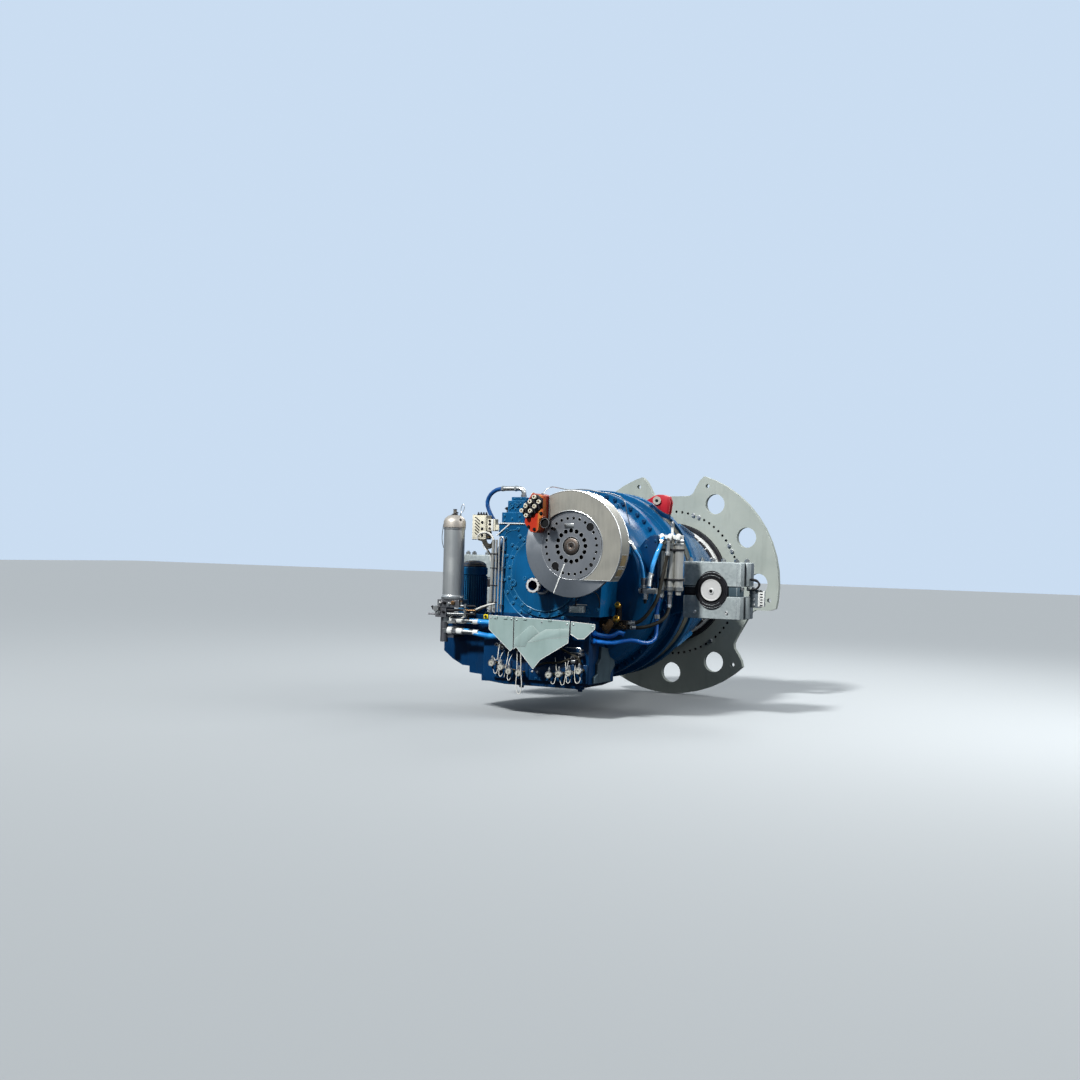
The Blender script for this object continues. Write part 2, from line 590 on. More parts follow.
def finish_piece(name, finishes, body="housing"):
    """Makes what is on the board a piece that rides on a body."""
    piece = take_off_board(name, finishes)
    piece.data.shade_smooth()
    piece.data.set_sharp_from_angle(angle=math.radians(35))
    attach(piece, body)
    print(name, len(piece.data.polygons), "faces")
    return piece


# %% [markdown]
# ## Castings with real edges
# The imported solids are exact, but their triangles are loose and every edge is knife sharp. A real casting or
# a flame-cut plate has its edges broken by a few millimetres, and that small round is what catches the
# light. So each solid is copied, its triangles are welded, flat faces are joined, holes are bored where the
# real part has them, and a Bevel modifier breaks the edges.


# %% A welded, bored and bevelled copy of a CAD solid
def drill(places, radius, start_y, end_y, sides=20):
    """Puts drills that bore along y on the board."""
    for p in places:
        rod((p.x, start_y, p.z), (p.x, end_y, p.z), radius, sides)


def bore(piece, drills):
    """Cuts the drills out of a piece."""
    boring = piece.modifiers.new("boring", "BOOLEAN")
    boring.operation = "DIFFERENCE"
    boring.solver = "EXACT"
    boring.object = drills


def break_edges(piece, width_mm, sharp):
    """Rounds the edges that are sharper than an angle in degrees."""
    bevel = piece.modifiers.new("broken_edges", "BEVEL")
    bevel.width = width_mm / 1000
    bevel.segments = 2
    bevel.limit_method = "ANGLE"
    bevel.angle_limit = math.radians(sharp)
    bevel.use_clamp_overlap = True


def dress(node, finish, body="housing", edge=2.0, hole=None, sharp=32):
    """Replaces a CAD solid by a dressed copy; with a finish for holes, the board's drills bore them."""
    shape = bmesh.new()
    shape.from_mesh(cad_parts[node].data)
    bmesh.ops.remove_doubles(shape, verts=shape.verts, dist=1e-5)
    for face in shape.faces:
        face.material_index = 0
    bmesh.ops.dissolve_limit(shape, angle_limit=math.radians(0.5), verts=shape.verts, edges=shape.edges)
    mesh = bpy.data.meshes.new(node + "_dressed")
    shape.to_mesh(mesh)
    shape.free()
    mesh.materials.clear()
    mesh.materials.append(finish)
    piece = link_mesh(mesh.name, mesh)
    drills = None
    if hole is not None:
        mesh.materials.append(hole)
        for face in board.faces:
            face.material_index = 1
        drills = take_off_board("drills", [finish, hole])
        bore(piece, drills)
    if edge:
        break_edges(piece, edge, sharp)
    # Big flat faces keep their own normal, so that no shading leaks into them from the broken edges.
    piece.data.shade_smooth()
    piece.data.set_sharp_from_angle(angle=math.radians(max(sharp, 40)))
    weigh = piece.modifiers.new("flat_faces", "WEIGHTED_NORMAL")
    weigh.keep_sharp = True
    weigh.weight = 90
    depsgraph = bpy.context.evaluated_depsgraph_get()
    final = bpy.data.meshes.new_from_object(piece.evaluated_get(depsgraph))
    piece.modifiers.clear()
    piece.data = final
    if drills is not None:
        bpy.data.objects.remove(drills)
    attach(piece, body)
    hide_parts(node)
    return piece


# Finish, width of the broken edge in millimetres, and the nodes that have them; hoses have no edge.
DRESSED = [
    (blue_enamel, 5, "gear_case"), (navy_enamel, 6, "oil_sump pump_housing"),
    (blue_enamel, 3, "round_cover output_cover bolt_flange distribution_block pump_motor"),
    (blue_enamel, 4, "drum_housing torque_arm_housing main_bearing_housing"), (slate_enamel, 2, "sump_foot"),
    (navy_enamel, 3, "seal_cover"), (navy_enamel, 2, "pitch_tube"), (ring_grease, 2, "ring_gear"),
    (sheet_primer, 1, "shield_left shield_middle shield_right"), (zinc, 3, "speed_sensor"),
    (zinc, 5, "right_block_upper right_block_lower left_block_upper left_block_lower"),
    (dull_zinc, 2, "right_end_plate"), (guard_sheet, 1.5, "brake_guard"), (caliper_red, 7, "brake_caliper"),
    (dull_steel, 2, "guard_bracket tube_bracket"), (cap_steel, 3, "filter_cap"),
    (dull_steel, 3, "filter_head"), (shell_steel, 2, "filter_body"), (white_enamel, 4, "tube_bow"),
    (tube_steel, 2, "oil_tube_left oil_tube_middle oil_tube_right"), (white_enamel, 3, "manifold_tee"),
    (dark_bronze, 4, "valve_block"), (cream_plastic, 5, "terminal_box"), (navy_hose_skin, 0, "top_hose"),
    (blue_hose_skin, 0, "filter_hose_upper filter_hose_lower blue_hose_left blue_hose_right"),
    (pipe_blue, 0, "low_pipe_upper low_pipe_lower"),
    (black_hose_skin, 0, "black_hose_upper black_hose_lower"),
]
for coat, edge_mm, nodes in DRESSED:
    for node_name in nodes.split():
        dress(node_name, coat, edge=edge_mm, sharp=32 if edge_mm else 50)
dress("seal_ring", black_rubber, "low_speed_shaft", edge=3)
dress("brake_disc", brake_steel, "high_speed_shaft", edge=3)
print("dressed nodes:", sum(len(nodes.split()) for _, _, nodes in DRESSED) + 2)

# %% [markdown]
# ## The lock disc
# A mechanic locks the rotor by pushing pins through the nine big holes of this disc. 72 bolts on one circle
# tie it to the planet carrier's flange. The holes are really bored, 42 mm deep, so light and shade in them
# are real; a few are still filled by their bolts.

# %% Boring the lock disc
MAIN = (0, 0)
BOLT_CIRCLE = 771
bolt_holes = [on_ring(MAIN, BOLT_CIRCLE, 2.5 + 5 * k) for k in range(72)]
drill(bolt_holes, 14, -40, 42, 16)
dress("lock_disc", grey_primer, "low_speed_shaft", 3, black_oxide)

filled = [bolt_holes[k] for k in (5, 6, 13, 14, 29, 30, 45, 52, 61)]
bolts([(p.x, -0.2, p.z) for p in filled], 36, 22)
bolts([(p.x, 65.2, p.z) for p in filled], 36, 18, facing=1)
finish_piece("lock_disc_bolts", [bright_steel], "low_speed_shaft")

# %% [markdown]
# ## The planet carrier's hub
# Behind the disc the carrier ends in a spigot that the rotor shaft is bolted to, with a circle of tapped
# holes and a bore for the cables of the blade pitch.

# %% Boring the hub, and the segmented seal in front of it
drill([on_ring(MAIN, 452, 10 * k) for k in range(36)], 19, 25, 120)
dress("planet_carrier_hub", white_enamel, "low_speed_shaft", 4, black_oxide)

turned([(546, -128), (573, -128), (573, -68), (546, -68)], MAIN, 96, 0, True)
for k in range(30):
    middle = on_ring(MAIN, 560, 12 * k + 5, -99)
    spoke = turned_about_y(middle, -(12 * k + 5))
    block((-15, -31, -4), (15, 31, 4), 1, 1, spoke)
turned([(574, -80), (596, -80), (596, -64), (574, -64)], MAIN, 96, 1, True)
finish_piece("segmented_seal", [black_rubber, white_enamel])

# %% [markdown]
# ## The coupling hub and the brake disc
# The fast shaft turns at 1500 to 1800 revolutions a minute and carries a brake disc and the half of a
# coupling. The hub's face has a circle of 16 tie bolts' holes, an outer circle of 26 and four big ones for
# the puller. A white line across hub and disc lets a mechanic count turns by eye.

# %% Boring the coupling hub
FAST = (422, 360)
outer_ring = [on_ring(FAST, 246, 360 / 26 * k + 3) for k in range(26)]
drill([on_ring(FAST, 137, 360 / 16 * k + 2) for k in range(16)], 20, -3480, -3385)
drill(outer_ring, 13.5, -3480, -3395, 16)
stack("Y", FAST, (-3480, -3410, 82, 40))
dress("coupling_hub", hub_steel, "high_speed_shaft", 2, black_oxide)

turned([(0, -3421), (13, -3421), (20, -3425), (36, -3425), (38, -3422), (62, -3422), (70, -3418),
       (72, -3411), (72, -3409), (0, -3409)], FAST, 40)
stack("Y", FAST, (-3426, -3421.2, 12, 20, 1))
turned([(84, -3419.2), (88, -3419.2), (88, -3417.8), (84, -3417.8)], FAST, 40, 2, True)
for x, z, radius in ((600, 531, 36.5), (271, 182, 36.5), (251, 507, 17.5), (619, 201, 17.5)):
    rod((x, -3412, z), (x, -3380, z), radius - 1.5, 28, 1)
for p in outer_ring[5::7]:
    turned([(14.5, -3419.5), (18.5, -3419.5), (18.5, -3417.9), (14.5, -3417.9)], (p.x, p.z), 20, 2, True)
finish_piece("shaft_end", [boss_steel, black_oxide, bright_steel], "high_speed_shaft")

plate([(348, 557), (440, 562), (446, 519), (357, 512)], -3420.5, -3418.2, 0, 1)
finish_piece("balance_plate", [bright_steel], "high_speed_shaft")

line_turn = turned_about_y(on_axis("Y", FAST, 0), 111)
block((168, -3419.2, -5), (291, -3417.9, 5), 0, 0.3, line_turn)
block((288, -3418.9, -5), (446, -3414.9, 5), 0, 0.3, line_turn)
finish_piece("turn_counting_line", [white_enamel], "high_speed_shaft")

# %% [markdown]
# ## The brake guard's rims
# The guard is a pan of stainless sheet with a window for the hub. Its maker rolled the free edges over, so
# nobody is cut by them, and those rims are the brightest lines on the whole front. Two windows in its side
# show the tan friction lining of the brake pads.

# %% Rolled rims and pad windows
GUARD_FACE = -3440


def guard_arc(radius, start, stop, y, steps=24):
    """Points on an arc about the fast shaft's axis, angles in degrees."""
    return [on_ring(FAST, radius, start + (stop - start) * k / steps, y) for k in range(steps + 1)]


tube(guard_arc(487, -36.5, 116.0, GUARD_FACE + 2, 48), 4.5, sides=2, bends=2)
tube(guard_arc(312, -71.5, 134.0, GUARD_FACE + 1, 40), 4.5, sides=2, bends=2)
rod((207, GUARD_FACE + 1, 584), (207, GUARD_FACE + 1, 797), 4, 10)
rod((521, GUARD_FACE + 1, 67), (812, GUARD_FACE + 1, 67), 4.5, 10)
rod((812, GUARD_FACE + 1, 67), (812, -3275, 67), 4.5, 10)
tube(guard_arc(487.5, -36.5, 116.0, -3272, 48), 3.5, sides=2, bends=2)
finish_piece("guard_rims", [bright_steel])

for start, stop in ((-7.5, -19.5), (-22.5, -31.5)):
    window = guard_arc(490.8, start, stop, 0, 6)
    inner = guard_arc(488.5, start, stop, 0, 6)
    plate([(p.x, p.z) for p in window] + [(p.x, p.z) for p in reversed(inner)], -3418, -3300, 0)
    for edge_y in (-3418, -3300):
        tube([Vector((p.x, edge_y, p.z)) for p in window], 2.5, 1, sides=1, bends=2)
    for end in (window[0], window[-1]):
        rod((end.x, -3418, end.z), (end.x, -3300, end.z), 2.5, 8, 1)
finish_piece("pad_windows", [tan_pad, bright_steel])

# %% [markdown]
# ## The brake caliper
# A red casting straddles the disc. Its springs sit in two rows of black stubs with cream caps, and its
# hydraulic port is a black cup with a silver rim. A thin pipe brings the oil over the top.

# %% Caliper caps, bosses and pipe
plate([(5, 690), (-10, 655), (30, 600), (70, 592), (198, 700), (198, 770), (140, 806), (95, 790)], -3557,
      -3545.2, 0, 2)
for start_x, start_z in ((131, 783), (177, 741)):
    for k in range(4):
        x, z = start_x - 40 * k, start_z - 40.5 * k
        turned([(0, -3590), (9, -3590), (10.5, -3596), (16.5, -3596), (18, -3593), (18, -3556),
               (20.5, -3556), (20.5, -3549), (0, -3549)], (x, z), 24)
        turned([(9.6, -3596.8), (17.4, -3596.8), (18.4, -3593), (18.4, -3580), (17, -3580), (9.6, -3591)],
               (x, z), 24, 1, True)
        rod((x, -3592, z), (x, -3588, z), 9.4, 16, 2)
caps = finish_piece("spring_caps", [black_rubber, cream_plastic, bronze])
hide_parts("caliper_caps")

for x, z in ((85, 806), (12, 712)):
    outward = Vector((-0.74, 0, 0.67))
    foot = Vector((x, -3510, z)) - outward * 26
    rod(foot, foot + outward * 34, 15)
    rod(foot + outward * 34, foot + outward * 40, (17, 14), 16, 1)
turned([(0, -3548), (34, -3548), (38, -3561), (42, -3561), (43, -3556), (43, -3520), (0, -3520)],
       (228, 555))
turned([(40.6, -3562), (42.4, -3562), (43.4, -3559), (42.6, -3557.5), (40.6, -3560)], (228, 555), 40, 2,
       True)
finish_piece("caliper_bosses", [black_oxide, cream_plastic, dull_steel])

bolts(spots(-3545.3, (183, 640), (183, 700), (62, 520), (120, 500), (60, 690)), 24, 13)
tube([(128, -3420, 806), (129, -3380, 842), (135, -3335, 868), (165, -3300, 884), (200, -3296, 880),
     (308, -3262, 861), (420, -3200, 868), (520, -3050, 850), (560, -2800, 836), (590, -2700, 800),
     (602, -2684, 760), (606, -2650, 680), (606, -2600, 610), (606, -2580, 575)], 5, 1, sides=2)
rod((128, -3420, 800), (128, -3420, 822), 12, 6, 1)
finish_piece("caliper_bolts_and_pipe", [black_oxide, bright_steel])

# %% [markdown]
# ## Bolts on the front covers
# The round cover closes the end of the main shaft. Hexagon screws, painted over with the housing, sit on its
# step and on a wider circle in the case. The plugs between them close the oil galleries.

# %% Cover screws, plugs and the seams of the case
COVER = (0, 107)


def clear_of_hub(places, reach):
    """The places that lie further than a reach from the fast shaft's axis."""
    return [p for p in places if math.hypot(p.x - FAST[0], p.z - FAST[1]) > reach]


on_step = [on_ring(COVER, 374, 7.5 + 15 * k, -3071.2) for k in range(24)]
bolts(clear_of_hub(on_step, 262), 24, 14)
wide = [on_ring(COVER, 436, 100 + 15 * k, -3050.2) for k in range(15)]
bolts(clear_of_hub([p for p in wide if p.x > -446], 285), 26, 15)
turned([(0, -3086), (14, -3086), (16, -3095), (30, -3095), (34, -3091), (34, -3084), (0, -3084)], (-318, 8),
       28)
turned([(0, -3086), (9, -3086), (10, -3092), (18, -3092), (20, -3089), (20, -3084), (0, -3084)], (-200, 57),
       24)
bolts(spots(-3050.2, (-390, 187), (-330, 330), (-420, 500), (-300, 505), (-430, 420), (-150, 520),
            (520, -200), (430, -220), (60, 500), (-40, 520)), 28, 16)
finish_piece("front_cover_screws", [blue_enamel])

rim = [on_ring(COVER, 462, 178 + 3.1 * k, -3052) for k in range(32)]
tube(rim, 6, sides=2, bends=2)
rim = [on_ring(COVER, 345, 100 + 4 * k, -3082) for k in range(61)]
tube(clear_of_hub(rim, 262), 4, sides=2, bends=2)
tube([(-448, -3052, 60), (-448, -3052, 380), (-420, -3052, 470), (-300, -3052, 500)], 5, sides=2)
finish_piece("cover_gasket_ridges", [blue_enamel])

block((-502, -3064, 551), (-236, -3040, 561), 0, 2)
seam = turned_about_y((-455, -3056, 496), -39)
block((-86, -6, -5), (86, 6, 5), 0, 2, seam)
finish_piece("case_top_seams", [white_enamel])

# %% [markdown]
# ## The pitch tube and the distribution block
# A tube through the hollow main shaft carries the cables to the blades. It ends in a bright nut with slots
# for a spanner. The stepped block on top splits the oil between bearings.

# %% Spanner nut and distribution block fittings
turned([(45, -3318), (62, -3318), (68, -3313), (68, -3296), (66, -3292), (66, -3278), (44.2, -3278)],
       MAIN, 48)
for k in range(8):
    slot_turn = Matrix.Rotation(math.radians(45 * k + 10), 4, "Y")
    block((60, -3319, -6), (70, -3294, 6), 1, 1, slot_turn)
turned([(66, -3140), (80, -3140), (80, -3120.5), (66, -3120.5)], MAIN, 40, 0, True)
for k in range(8):
    bolts([on_ring(MAIN, 76, 45 * k, -3120.6)], 12, 6, 1)
finish_piece("spanner_nut", [pin_steel, black_oxide])

bolts(spots(-3020.2, (-408, 742), (-356, 742), (-300, 742), (-408, 690), (-356, 690), (-300, 690)), 15, 9)
for x, z in ((-330, 726), (-386, 716)):
    turned([(0, -3028), (7, -3028), (9, -3034), (16, -3034), (18, -3031), (18, -3019), (0, -3019)], (x, z),
           24)
bolts(spots(-3030.2, (-460, 628), (-300, 628), (-460, 580), (-380, 600), (-300, 580)), 18, 11)
bolts(spots(-3010.2, (-368, 787), (-300, 787)), 12, 7)
finish_piece("distribution_block_plugs", [blue_enamel])

rod((-470, -2960, 657), (-470, -2960, 684), 5, 12)
turned([(0, 682), (10, 682), (17, 688), (18, 700), (12, 708), (0, 710)], (-470, -2960), 20, axis="Z")
block((-494, -2966, 690), (-470, -2954, 700), 0, 2)
finish_piece("vent_knob", [black_rubber])

rod((-540, -2940, 880.6), (-516, -2940, 881.6), 26, 6)
rod((-516, -2940, 881.6), (-400, -2940, 883), (22.5, 21.5), 20)
rod((-400, -2940, 883), (-382, -2940, 883), 27, 6)
rod((-382, -2940, 883), (-348, -2940, 882), 22, 20)
tube([(-352, -2940, 882), (-326, -2940, 874), (-311, -2940, 850), (-310, -2940, 826)], 22)
rod((-310, -2940, 801.5), (-310, -2940, 826), 27, 6)
rod((-558, -2934, 511), (-530, -2931, 507), 25, 6)
finish_piece("top_hose_fittings", [bright_steel])

# %% [markdown]
# ## The terminal box and the cables
# The sensors' cables come together in a cream plastic box with cooling slots. Cable glands stick out of its
# top and side, and a bow of black cables drops from it to the pipes.

# %% Louvres, glands and cable bows
block((-762, -3079.5, 416), (-636, -3075.2, 614), 0, 2)
for k in range(6):
    tilt = turned_about_y((-716, -3080, 445 + 29 * k), 38)
    block((-32, -1.5, -5), (32, 1.5, 5), 1, 1, tilt)
for x, z in ((-664, 560), (-664, 500), (-664, 440)):
    turned([(0, -3086), (9, -3086), (14, -3082), (14, -3079), (0, -3079)], (x, z), 18, 1)
for x in (-740, -712, -684, -656):
    stack("Z", (x, -3020), (627.2, 640, 12, 6, 1), (640, 656, (9, 6), 14, 1))
block((-776, -3068, 398), (-770.2, -2974, 632), 0, 2)
for z in (430, 470, 510, 550, 590):
    block((-628, -3046, z - 13), (-605, -2996, z + 5), 2, 3)
for z in (505, 545, 575):
    rod((-600, -3056, z), (-600, -3050.2, z), 12, 16, 1)
block((-583, -3058, 486), (-560, -3050.2, 590), 3, 2)
finish_piece("terminal_box_fittings", [cream_plastic, black_rubber, tan_pad, white_enamel])

tube([(-716, -3070, 402), (-711, -3076, 432), (-652, -3080, 466), (-578, -3084, 455), (-540, -3088, 410),
     (-531, -3090, 380)], 9, 1)
for lift, y in ((0, -3066), (14, -3058), (-16, -3072)):
    tube([(-690 + lift, y, 402), (-658, y, 404 + lift), (-611, y, 345 + lift), (-574, y, 344 + lift),
         (-548, y - 20, 372), (-530, y - 24, 398)], 9)
tube([(-676, -3060, 402), (-650, -3066, 360), (-600, -3070, 300), (-560, -3070, 240), (-552, -3070, 100),
     (-552, -3070, -180)], 7)
tube([(-672, -3040, 402), (-660, -3050, 330), (-590, -3060, 280), (-576, -3060, 200)], 5, 1)
finish_piece("terminal_cables", [black_hose_skin, white_cable])

rod((-550, -3090, -268), (-533, -3090, 402), 15, 20)
rod((-507, -3090, -268), (-501, -3090, 402), 10)
tube([(-477, -3084, -262), (-475, -3084, 100), (-472, -3084, 396), (-466, -3084, 420), (-451, -3084, 429),
     (-436, -3084, 420), (-430, -3084, 396), (-436, -3084, 180), (-444, -3084, -262)], 7.5, sides=3)
for x, z in ((-438, 137), (-445, -212)):
    rod((x, -3084, z - 22), (x, -3084, z + 22), 12, 6, 1)
rod((-549, -3090, -240), (-548.4, -3090, -216), 20, 6)
rod((-549.6, -3090, -262), (-549, -3090, -248), 18, 16, 1)
rod((-507, -3090, -250), (-507, -3090, -226), 15, 6, 1)
for z, x in ((271, -536), (141, -540), (-20, -544), (-176, -548)):
    block((x - 19, -3107, z - 5), (-487, -3072, z + 5), 2, 3)
    rod((-518, -3072, z), (-518, -3050.4, z), 7, 10, 2)
for z in (300, 20, -200):
    block((-486, -3078, z - 4), (-428, -3050.4, z + 4), 2, 1.5)
pipes = finish_piece("case_pipes", [tube_steel, bright_steel, black_rubber])
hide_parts("pipe_bundle")

# %% [markdown]
# ## The oil filter
# Oil is forced through a paper element in the tall bright housing. The cap unscrews for a change of element;
# a black drain knob, a wire ring and a seal wire sit on it. The head below has taps, gauges and the two
# hoses, whose crimped sleeves are silver.

# %% Filter trim
FILTER = (-918, -3150)
turned([(101.2, -163), (107, -160), (107, -140), (101.2, -134)], FILTER, 48, 0, True, axis="Z")
turned([(97.3, 487), (103, 490), (103, 502), (97.3, 504)], FILTER, 48, 0, True, axis="Z")
turned([(0, 618), (24, 618), (28, 626), (24, 634), (16, 636), (16, 668), (19, 672), (17, 677), (0, 678)],
       FILTER, 24, 1, axis="Z")
rod((-918, -3150, 650), (-886, -3150, 642), 7, 12, 1)
rod((-860, -3150, 588), (-856, -3150, 640), 6, 12)
ring_points = [Vector((-837 + 17 * math.sin(t) + 8 * math.cos(t), -3150, 686 + 38 * math.cos(t)))
               for t in (k * math.tau / 12 for k in range(12))]
tube(ring_points, 3, cyclic=True, sides=2)
tube([(-905, -3172, 640), (-960, -3200, 600), (-1006, -3196, 545), (-1022, -3190, 480), (-1030, -3186, 400),
     (-1022, -3180, 340), (-1017, -3170, 310)], 3, 2, sides=2)
rod((-838, -3190, 560), (-826, -3196, 584), 10, 10, 1)
finish_piece("filter_trim", [bright_steel, black_rubber, black_hose_skin])

for x, y, z, r, length, kind in ((-1000, -3240, -200, 19, 26, 0), (-950, -3240, -195, 15, 34, 1),
                                 (-905, -3240, -205, 17, 22, 0), (-860, -3240, -192, 20, 30, 2),
                                 (-1020, -3230, -285, 21, 20, 0), (-965, -3230, -280, 13, 28, 1)):
    stack("Y", (x, z), (y, y - length * 0.6, r, 6, kind),
          (y - length * 0.6, y - length, (r * 0.7, r * 0.55), 16, kind))
for z, shade in ((-222, 0), (-262, 1), (-296, 0)):
    rod((-930, -3215, z), (-760, -3205, z + 4), (15, 13), 16, shade)
    rod((-760, -3205, z + 4), (-738, -3204, z + 4), 19, 6)
    rod((-738, -3204, z + 4), (-650, -3190, z + 6), 10, 14, 1 if shade == 0 else 2)
for x in (-880, -830, -790):
    stack("Z", (x, -3212), (-238, -180, 9, 12), (-180, -170, 13, 6, 2))
turned([(0, -3262), (26, -3262), (30, -3256), (30, -3236), (0, -3236)], (-1035, -250), 28)
rod((-1104, -3180, -258), (-1060, -3180, -258), 13, 12)
rod((-1122, -3180, -232), (-1104, -3180, -262), 11, 12, 1)
finish_piece("filter_head_fittings", [bright_steel, black_rubber, bronze])

for z in (-354, -456):
    y = -3150
    stack("X", (y, z), (-990, -955, 40, 6), (-955, -900, (36, 33), 20, 1), (-900, -868, 38, 6))
    rod((-868, y, z), (-800, y, z - 1), (30, 29), 20, 1)
    rod((-800, y, z - 1), (-788, y, z - 1), 33, 20)
    rod((-788, y, z - 1), (-690, y + 3, z - 4), (27.5, 27), 20)
    rod((-690, y + 3, z - 4), (-640, y + 6, z - 5), (26.5, 25.5), 20, 1)
finish_piece("filter_hose_sleeves", [bright_steel, white_enamel])

tube([(-790, -3200, -330), (-755, -3180, -312), (-722, -3150, -282), (-660, -3130, -240),
     (-597, -3110, -213), (-494, -3100, -184)], 8)
tube([(-748, -3170, -350), (-738, -3160, -318), (-700, -3140, -290), (-612, -3110, -232),
     (-560, -3100, -208)], 7, 1)
tube([(-780, -3190, -226), (-735, -3190, -250), (-726, -3180, -300), (-732, -3170, -346)], 7, 1)
finish_piece("filter_cables", [white_cable, black_hose_skin])

# %% [markdown]
# ## The pump's motor
# A flange motor stands upright beside the filter. A steel bell with slots covers its fan, and the stator
# shell has cast cooling ribs.

# %% Cooling ribs and fan bell
MOTOR = (-953, -2700)
for k in range(36):
    turn_rib = Matrix.Translation(on_axis("Z", MOTOR, 0)) @ Matrix.Rotation(math.radians(10 * k), 4, "Z")
    block((117.6, -2, -262), (132, 2, 56), 0, 1.2, turn_rib)
turned([(124.3, 66), (131, 70), (131, 132), (124.3, 134)], MOTOR, 48, 0, True, axis="Z")
turned([(134, -274), (146, -270), (146, -262), (118.5, -258)], MOTOR, 48, 0, True, axis="Z")
finish_piece("motor_ribs", [blue_enamel])

for k, (radius, z) in enumerate(((121, 144), (117, 156), (112, 167), (105, 176), (92, 184), (78, 190))):
    turned([(radius - 4, z - 3), (radius + 2.5, z - 4.5), (radius + 4, z), (radius - 2, z + 3)], MOTOR, 48,
           k % 2, True, axis="Z")
turned([(0, 195.2), (50, 195.2), (52, 199), (0, 201)], MOTOR, axis="Z")
finish_piece("fan_bell_slots", [black_rubber, tan_pad])

# %% [markdown]
# ## The gauge rail
# Eight pressure and temperature gauges look out of the sump's lower edge. Each is a steel case with a
# pressed bezel, an enamelled face under glass and a brass stem, and a white cable hangs from it in a bow.

# %% Rail, gauges and their cables
GAUGES = [(-465, -727), (-371, -758), (-287, -790), (-184, -801), (121, -800), (220, -785), (319, -770),
          (417, -746)]
rail_outline = [(-510, -868), (-510, -702), (445, -702), (445, -868)]
plate(rail_outline, -3088, -3050.3, 0, 4)
for x in (-480, -330, -236, -60, 60, 170, 270, 400):
    bolts([(x, -3088.2, -850)], 22, 12)
block((-120, -3092, -866), (-20, -3085, -760), 0, 3)
for x in (-95, -45):
    bolts([(x, -3092.2, -790)], 16, 9, 1)
rail = finish_piece("gauge_rail", [navy_enamel, bright_steel])
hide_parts("sensor_rail")

for n, (x, z) in enumerate(GAUGES):
    stack("Y", (x, z), (-3088, -3140, 13, 6, 2), (-3140, -3160, (20, 26), 20))
    turned([(0, -3160), (27, -3160), (31, -3164), (31.5, -3186), (33, -3190), (33, -3200), (30, -3204),
           (26.5, -3204), (25.5, -3199), (0, -3199)], (x, z), 28)
    stack("Y", (x, z), (-3200.6, -3199, 25, 24, 1), (-3203, -3200.4, (5, 3.5), 12, 3))
    hand = turned_about_y((x, -3202, z), 50 + 23 * n)
    block((-4, -0.7, -1.5), (20, 0.7, 1.5), 3, 0, hand)
    stack("Z", (x, -3180), (z + 30, z + 52, 11, 6), (z + 52, z + 66, (8, 6), 12))
    rod((x + 2, -3176, z - 30), (x + 4, -3172, z - 52), 9, 12, 4)
finish_piece("gauges", [bright_steel, gauge_face, gold, black_oxide, black_rubber])

for x, z, reach, fall in ((-465, -727, 46, 70), (-371, -758, -40, 62), (-287, -790, -34, 60),
                          (121, -800, 52, 56), (220, -785, 48, 74), (319, -770, -42, 68),
                          (417, -746, -60, 88)):
    tube([(x + 3, -3172, z - 50), (x + 8, -3168, z - fall * 0.9), (x + reach * 0.5, -3160, z - fall - 26),
         (x + reach * 0.95, -3150, z - fall * 0.6), (x + reach, -3140, z + 10),
         (x + reach * 0.8, -3130, z + 90), (x + reach * 0.3, -3100, z + 150)], 3.4, sides=2)
tube([(-199, -3200, -602), (-196, -3200, -780), (-195, -3200, -953), (-172, -3200, -989),
     (-151, -3200, -950), (-156, -3200, -780), (-161, -3200, -621)], 4, sides=2)
tube([(-430, -3110, -560), (-424, -3150, -640), (-436, -3160, -700), (-458, -3170, -676)], 3.4, sides=2)
tube([(-330, -3110, -590), (-326, -3150, -700), (-340, -3160, -790), (-352, -3150, -850)], 3.4, sides=2)
finish_piece("gauge_cables", [white_cable])

for route in ([(-420, -3100, -570), (-320, -3110, -560), (-250, -3104, -600), (-230, -3100, -690)],
              [(-300, -3090, -560), (-230, -3100, -590), (-130, -3100, -620), (-90, -3100, -740)],
              [(-60, -3100, -740), (60, -3110, -700), (180, -3110, -690), (300, -3110, -650)],
              [(200, -3110, -560), (300, -3120, -600), (380, -3110, -640), (402, -3100, -700)]):
    tube([(x, y - 20, z) for x, y, z in route], 10)
for x, z in ((-452, -560), (-395, -590), (330, -640), (396, -610)):
    stack("Y", (x, z), (-3050.3, -3130, 17, 6, 1), (-3130, -3156, (12, 9), 16, 2))
block((318, -3150, -694), (374, -3060, -648), 2, 4)
block((328, -3170, -684), (366, -3150, -656), 1, 3)
finish_piece("sump_wiring", [black_hose_skin, bright_steel, black_rubber])

tube([(242, -3120, -549), (392, -3120, -549), (406, -3120, -566), (400, -3120, -594), (242, -3120, -594)],
     4, kind="VECTOR", sides=2)
for x in (250, 392):
    rod((x, -3120, -572), (x, -3050.3, -572), 8, 12)
block((246, -3122, -588), (388, -3118, -556), 1, 1)
finish_piece("cable_bracket", [bright_steel, navy_enamel])

# %% [markdown]
# ## The sheet shields
# Folded sheets keep dripping oil and tools away from the gauges. Each has a bright cut edge, a line where it
# was folded, and small screws along its top. Black sealing strips close the gaps between the sheets.

